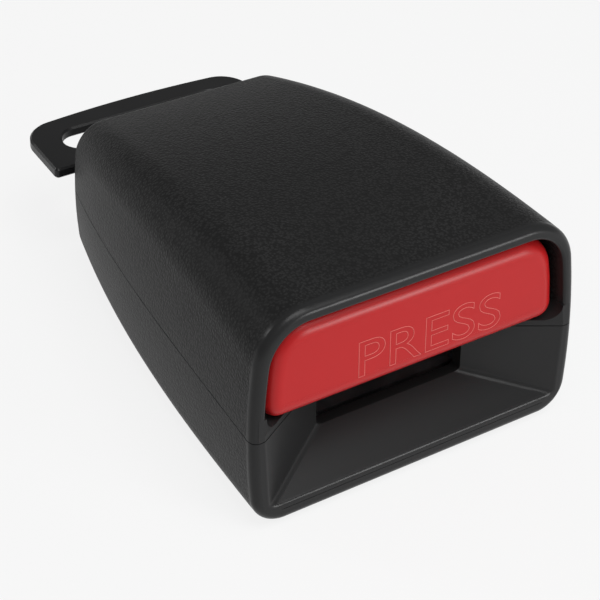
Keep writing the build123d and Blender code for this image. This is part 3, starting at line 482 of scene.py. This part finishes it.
def seat(name: str, mesh: bpy.types.Mesh, body: str) -> bpy.types.Object:
    """Adds a finished mesh to the scene and lets it ride on a body.

    Args:
        name: The piece's name.
        mesh: Its mesh, already in place.
        body: The body that carries it.

    Returns:
        The new object.
    """
    piece = bpy.data.objects.new(name, mesh)
    bpy.context.scene.collection.objects.link(piece)
    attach(piece, body)
    log.info("made %s, %d faces", name, len(mesh.polygons))
    return piece


def on_mouth(recess: float) -> Matrix:
    """Places a flat drawing on the plane of the mouth.

    Args:
        recess: How far behind the mouth it stands.

    Returns:
        The turn and move from the drawing (X across, Y up, Z out) to the buckle.
    """
    across, up = Vector((1, 0, 0)), Vector((0, math.sin(LEAN), math.cos(LEAN)))
    out = Vector((0, -math.cos(LEAN), math.sin(LEAN)))
    origin = Vector((0, LIP_Y, LIP_Z)) - out * recess
    return Matrix.Translation(origin) @ Matrix((across, up, out)).transposed().to_4x4()


def bent(holder: bpy.types.Object) -> bpy.types.Mesh:
    """Turns a curve or text object, as it stands, into a new mesh."""
    bpy.context.view_layer.update()
    return bpy.data.meshes.new_from_object(holder.evaluated_get(bpy.context.evaluated_depsgraph_get()))


def corners(mesh: bpy.types.Mesh) -> tuple[Vector, Vector]:
    """The lowest and the highest corner of a mesh's box."""
    columns = [[vertex.co[axis] for vertex in mesh.vertices] for axis in range(3)]
    return Vector([min(column) for column in columns]), Vector([max(column) for column in columns])


@dataclass
class Housing:
    """The two moulded covers."""

    covers: tuple[str, ...] = ("upper_cover", "lower_cover")
    finish: GrainedPlastic = field(default_factory=GrainedPlastic)

    def build(self) -> None:
        """Dresses the covers."""
        dress(self.covers, self.finish.make())


@dataclass
class SoftCap:
    """The red cap, its face running softly into its sides, hollow behind."""

    # half widths at heights above the lip, in mm
    side: tuple[tuple[float, float], ...] = ((27.955, 18.055), (27.31, 26.0), (25.92, 34.3))
    foot_cut: float = 3.3 * MM  # the lower corners' rounding starts this far from the corner
    top_cut: float = 5.6 * MM
    edge: float = 2.7 * MM  # rounding of the face's rim
    face_ring: float = 0.25 * MM  # keeps the flat face's shading flat
    depth: float = 12.8 * MM
    rise: float = 1.1 * MM  # the cap's sides climb towards the rear
    narrowing: float = 0.966
    wall: float = 1.9 * MM
    steps: int = 8
    sharp: float = math.radians(35)

    def shell(self) -> bmesh.types.BMesh:
        """Draws the outline, pulls it back and rounds the face's rim.

        Returns:
            The shell, open at the rear.
        """
        shape = bmesh.new()
        right = [shape.verts.new((x * MM, up * MM, 0.0)) for x, up in self.side]
        left = [shape.verts.new((-x * MM, up * MM, 0.0)) for x, up in reversed(self.side)]
        shape.faces.new(right + left)
        for pair, cut in (([right[0], left[-1]], self.foot_cut), ([right[-1], left[0]], self.top_cut)):
            bmesh.ops.bevel(
                shape, geom=pair, offset=cut, affect="VERTICES", segments=self.steps, profile=0.5, material=-1
            )
        pulled = bmesh.ops.extrude_face_region(shape, geom=list(shape.faces), use_keep_orig=True)["geom"]
        rear = [part for part in pulled if isinstance(part, bmesh.types.BMVert)]
        narrowed = Matrix.Diagonal((self.narrowing, 1.0, 1.0, 1.0))
        back = Matrix.Translation((0.0, self.rise, -self.depth)) @ narrowed
        bmesh.ops.transform(shape, matrix=back, verts=rear)
        ends = [part for part in pulled if isinstance(part, bmesh.types.BMFace)]
        rear_faces = [face for face in ends if face.calc_center_median().z < -self.depth / 2]
        bmesh.ops.delete(shape, geom=rear_faces, context="FACES")
        front = max(shape.faces, key=lambda face: face.calc_center_median().z)
        bmesh.ops.bevel(
            shape, geom=list(front.edges), offset=self.edge, affect="EDGES", segments=self.steps, profile=0.5,
            material=-1,
        )
        front = max(shape.faces, key=lambda face: face.calc_area())
        bmesh.ops.inset_region(shape, faces=[front], thickness=self.face_ring, use_even_offset=True)
        return shape

    def build(self, material: bpy.types.Material) -> None:
        """Thickens the shell inwards and sets it in the mouth.

        Args:
            material: The cap's finish.
        """
        shape = self.shell()
        bmesh.ops.remove_doubles(shape, verts=shape.verts, dist=MERGE)
        bmesh.ops.recalc_face_normals(shape, faces=shape.faces)
        bmesh.ops.solidify(shape, geom=list(shape.faces), thickness=self.wall)
        bmesh.ops.recalc_face_normals(shape, faces=shape.faces)
        # one fixed order of corners and faces, the same in every run
        shape.verts.sort(key=lambda vertex: vertex.co.dot(SORT_WAY))
        shape.faces.sort(key=lambda face: face.calc_center_median().dot(SORT_WAY))
        mesh = bpy.data.meshes.new("soft_cap")
        shape.to_mesh(mesh)
        shape.free()
        mesh.transform(on_mouth(CAP_RECESS))
        mesh.shade_smooth()
        mesh.set_sharp_from_angle(angle=self.sharp)
        mesh.materials.append(material)
        piece = seat("button_cap_soft", mesh, "button")
        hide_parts("button_cap")


@dataclass
class Legend:
    """Thin raised outlines of the word on the button's face."""

    word: str = "PRESS"
    height: float = 6.5 * MM
    width: float = 27.2 * MM
    middle_x: float = 2.4 * MM
    middle_up: float = 24.1 * MM
    line: float = 0.052 * MM

    def outline(self) -> bpy.types.Mesh:
        """Draws the word as round lines at full size, and returns their mesh."""
        text = bpy.data.curves.new("legend_text", "FONT")
        text.body = self.word
        text.size = 1.0
        text.fill_mode = "NONE"
        text.resolution_u = 6
        text.bevel_resolution = 1
        holder = bpy.data.objects.new("legend_holder", text)
        bpy.context.scene.collection.objects.link(holder)
        low, high = corners(bent(holder))
        wide, tall = self.width / (high.x - low.x), self.height / (high.y - low.y)
        text.bevel_depth = self.line / tall
        mesh = bent(holder)
        bpy.data.objects.remove(holder)
        mesh.name = "legend_lines"
        mesh.transform(Matrix.Diagonal((wide, tall, tall, 1.0)))
        return mesh

    def build(self, material: bpy.types.Material) -> None:
        """Lays the outlines on the button's face.

        Args:
            material: The ink.
        """
        mesh = self.outline()
        low, high = corners(mesh)
        middle = Vector((self.middle_x, self.middle_up, 0.0))
        mesh.transform(on_mouth(CAP_RECESS) @ Matrix.Translation(middle - (low + high) / 2))
        mesh.materials.clear()
        mesh.materials.append(material)
        seat("button_legend", mesh, "button")


@dataclass
class PressButton:
    """The red cap, its legend and the slider behind it."""

    finish: ButtonPlastic = field(default_factory=ButtonPlastic)
    ink: LegendInk = field(default_factory=LegendInk)
    carrier: Acetal = field(default_factory=lambda: Acetal("slider_plastic", 0.014))
    cap: SoftCap = field(default_factory=SoftCap)
    legend: Legend = field(default_factory=Legend)

    def build(self) -> None:
        """Makes the cap, dresses the slider and adds the legend."""
        red = self.finish.make()
        dress(("button_cap",), red)
        self.cap.build(red)
        dress(("button_slider", "tongue_guide"), self.carrier.make())
        self.legend.build(self.ink.make())


@dataclass(frozen=True)
class PressedCoil:
    """A coil spring, copied as a smooth shaded mesh that rides on the housing."""

    node: str
    joint: str
    travel: float
    sharp: float = math.radians(70)

    def build(self, material: bpy.types.Material) -> None:
        """Copies the spring's solid, smooth shaded, and sets the copy on the housing.

        Args:
            material: The wire's finish.
        """
        shape = bmesh.new()
        shape.from_mesh(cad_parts[self.node].data)
        bmesh.ops.remove_doubles(shape, verts=shape.verts, dist=MERGE)
        mesh = bpy.data.meshes.new(f"{self.node}_wire")
        shape.to_mesh(mesh)
        shape.free()
        mesh.shade_smooth()
        mesh.set_sharp_from_angle(angle=self.sharp)
        mesh.materials.append(material)
        piece = seat(f"{self.node}_pressed", mesh, "housing")
        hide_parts(self.node)
        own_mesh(piece)


@dataclass
class Mechanism:
    """Steel frame, pawl, lock bar, ejector and springs."""

    steel_pieces: tuple[str, ...] = (
        "frame_channel", "spring_bridge", "bridge_rivets", "latch_pawl", "latch_pin", "lock_bar",
        "ejector_guide_pin", "anchor_rivets",
    )
    springs: tuple[str, ...] = (
        "lock_spring_left", "lock_spring_right", "ejector_spring",
        "button_spring_left", "button_spring_right", "latch_spring",
    )
    pressed: tuple[PressedCoil, ...] = (
        PressedCoil("button_spring_left", "button_press", 6.0 * MM),
        PressedCoil("button_spring_right", "button_press", 6.0 * MM),
        PressedCoil("ejector_spring", "ejector_slide", 10.0 * MM),
    )
    steel: PlatedSteel = field(default_factory=PlatedSteel)
    wire: SpringWire = field(default_factory=SpringWire)
    slide: Acetal = field(default_factory=lambda: Acetal("ejector_plastic", 0.012))

    def build(self) -> None:
        """Dresses every piece of the mechanism."""
        dress(self.steel_pieces, self.steel.make())
        wire = self.wire.make()
        dress(self.springs, wire)
        for coil in self.pressed:
            coil.build(wire)
        dress(("ejector",), self.slide.make())


@dataclass
class WebbingPlate:
    """The slotted plate that the webbing loops through."""

    finish: CoatedSteel = field(default_factory=CoatedSteel)

    def build(self) -> None:
        """Dresses the plate."""
        dress(("anchor_plate",), self.finish.make())


# ---- Studio ----
class Lamp(Enum):
    """Softboxes: place, height they aim at over the origin, size across and power in watts."""

    OVERHEAD = ((0.02, -0.26, 0.72), 0.02, 0.46, 3.1)
    BACK_LEFT = ((-0.60, 0.66, 0.46), 0.02, 0.16, 1.15)
    FRONT = ((0.46, -0.85, 0.15), 0.02, 0.24, 3.1)
    NEAR = ((0.06, -0.22, 0.24), 0.01, 0.12, 0.14)


@dataclass
class Studio:
    """Pale floor, soft light and the camera."""

    floor_size: float = 40.0
    pale: Colour = (0.938, 0.938, 0.938, 1.0)
    even: float = 0.90  # share of the floor's tone that no shadow darkens
    fill: float = 0.28  # strength of the sky's light
    eye: Vector = field(default_factory=lambda: Vector((-141.37, -214.54, 196.92)) * MM)
    right: Vector = field(default_factory=lambda: Vector((0.8388, -0.5422, 0.0493)))
    back: Vector = field(default_factory=lambda: Vector((-0.4577, -0.6531, 0.6034)))
    lens: float = 108.6
    film: float = 36.0
    near: float = 0.01
    far: float = 60.0

    def floor(self) -> None:
        """Lays the floor, which shows the camera and mirrors an even pale tone and keeps a soft shadow."""
        recipe = Recipe("floor_pale")
        rays = recipe.node("ShaderNodeLightPath")
        seen = [Signal(recipe, rays.outputs[name]) for name in ("Is Camera Ray", "Is Glossy Ray")]
        through = Signal(recipe, rays.outputs["Is Transmission Ray"])
        paint = recipe.signal("ShaderNodeBsdfDiffuse", inputs={"Color": self.pale})
        glow = recipe.signal("ShaderNodeEmission", inputs={"Color": self.pale, "Strength": 1.0})
        share = seen[0].most(seen[1]).most(through) * self.even
        mixed = recipe.signal("ShaderNodeMixShader", inputs={0: share, 1: paint, 2: glow})
        recipe.node("ShaderNodeOutputMaterial", inputs={"Surface": mixed})
        shape = bmesh.new()
        bmesh.ops.create_grid(shape, x_segments=1, y_segments=1, size=self.floor_size / 2)
        mesh = bpy.data.meshes.new("floor")
        shape.to_mesh(mesh)
        shape.free()
        mesh.materials.append(recipe.material)
        ground = bpy.data.objects.new("floor", mesh)
        bpy.context.scene.collection.objects.link(ground)

    def sky(self) -> None:
        """Lights everything evenly, and shows pale beyond the floor."""
        world = bpy.data.worlds.new("studio")
        world.use_nodes = True
        tree = world.node_tree
        tree.nodes.clear()
        rays = tree.nodes.new("ShaderNodeLightPath")
        dim, pale = (tree.nodes.new("ShaderNodeBackground") for _ in range(2))
        dim.inputs["Color"].default_value = (1.0, 1.0, 1.0, 1.0)
        dim.inputs["Strength"].default_value = self.fill
        pale.inputs["Color"].default_value = self.pale
        mixed = tree.nodes.new("ShaderNodeMixShader")
        out = tree.nodes.new("ShaderNodeOutputWorld")
        tree.links.new(rays.outputs["Is Camera Ray"], mixed.inputs[0])
        tree.links.new(dim.outputs[0], mixed.inputs[1])
        tree.links.new(pale.outputs[0], mixed.inputs[2])
        tree.links.new(mixed.outputs[0], out.inputs["Surface"])
        bpy.context.scene.world = world

    def lamps(self) -> None:
        """Hangs the softboxes."""
        for lamp in Lamp:
            place, aim, across, power = lamp.value
            light = bpy.data.lights.new(lamp.name.lower(), "AREA")
            light.shape = "SQUARE"
            light.size = across
            light.energy = power
            box = bpy.data.objects.new(lamp.name.lower(), light)
            box.location = place
            box.visible_camera = False
            box.rotation_mode = "QUATERNION"
            box.rotation_quaternion = (Vector((0, 0, aim)) - Vector(place)).to_track_quat("-Z", "Y")
            bpy.context.scene.collection.objects.link(box)

    def camera(self) -> None:
        """Sets the camera on the buckle's front left corner, from above."""
        data = bpy.data.cameras.new("view")
        data.lens = self.lens
        data.sensor_width = self.film
        data.clip_start, data.clip_end = self.near, self.far
        eye = bpy.data.objects.new("view", data)
        back = self.back.normalized()
        right = (self.right - back * self.right.dot(back)).normalized()
        turn = Matrix((right, back.cross(right), back)).transposed()
        eye.matrix_world = Matrix.Translation(self.eye) @ turn.to_4x4()
        bpy.context.scene.collection.objects.link(eye)
        bpy.context.scene.camera = eye

    def build(self) -> None:
        """Sets up the floor, the light and the camera."""
        self.camera()
        self.floor()
        self.sky()
        self.lamps()
        bpy.context.scene.view_settings.view_transform = "Standard"


def main() -> None:
    """Builds the sub-assemblies in order, then the studio."""
    logging.basicConfig(level=logging.INFO, format="%(name)s: %(message)s")
    for part in (Housing(), PressButton(), Mechanism(), WebbingPlate(), Studio()):
        part.build()
        log.info("built %s", type(part).__name__)


if __name__ == "__main__":
    main()
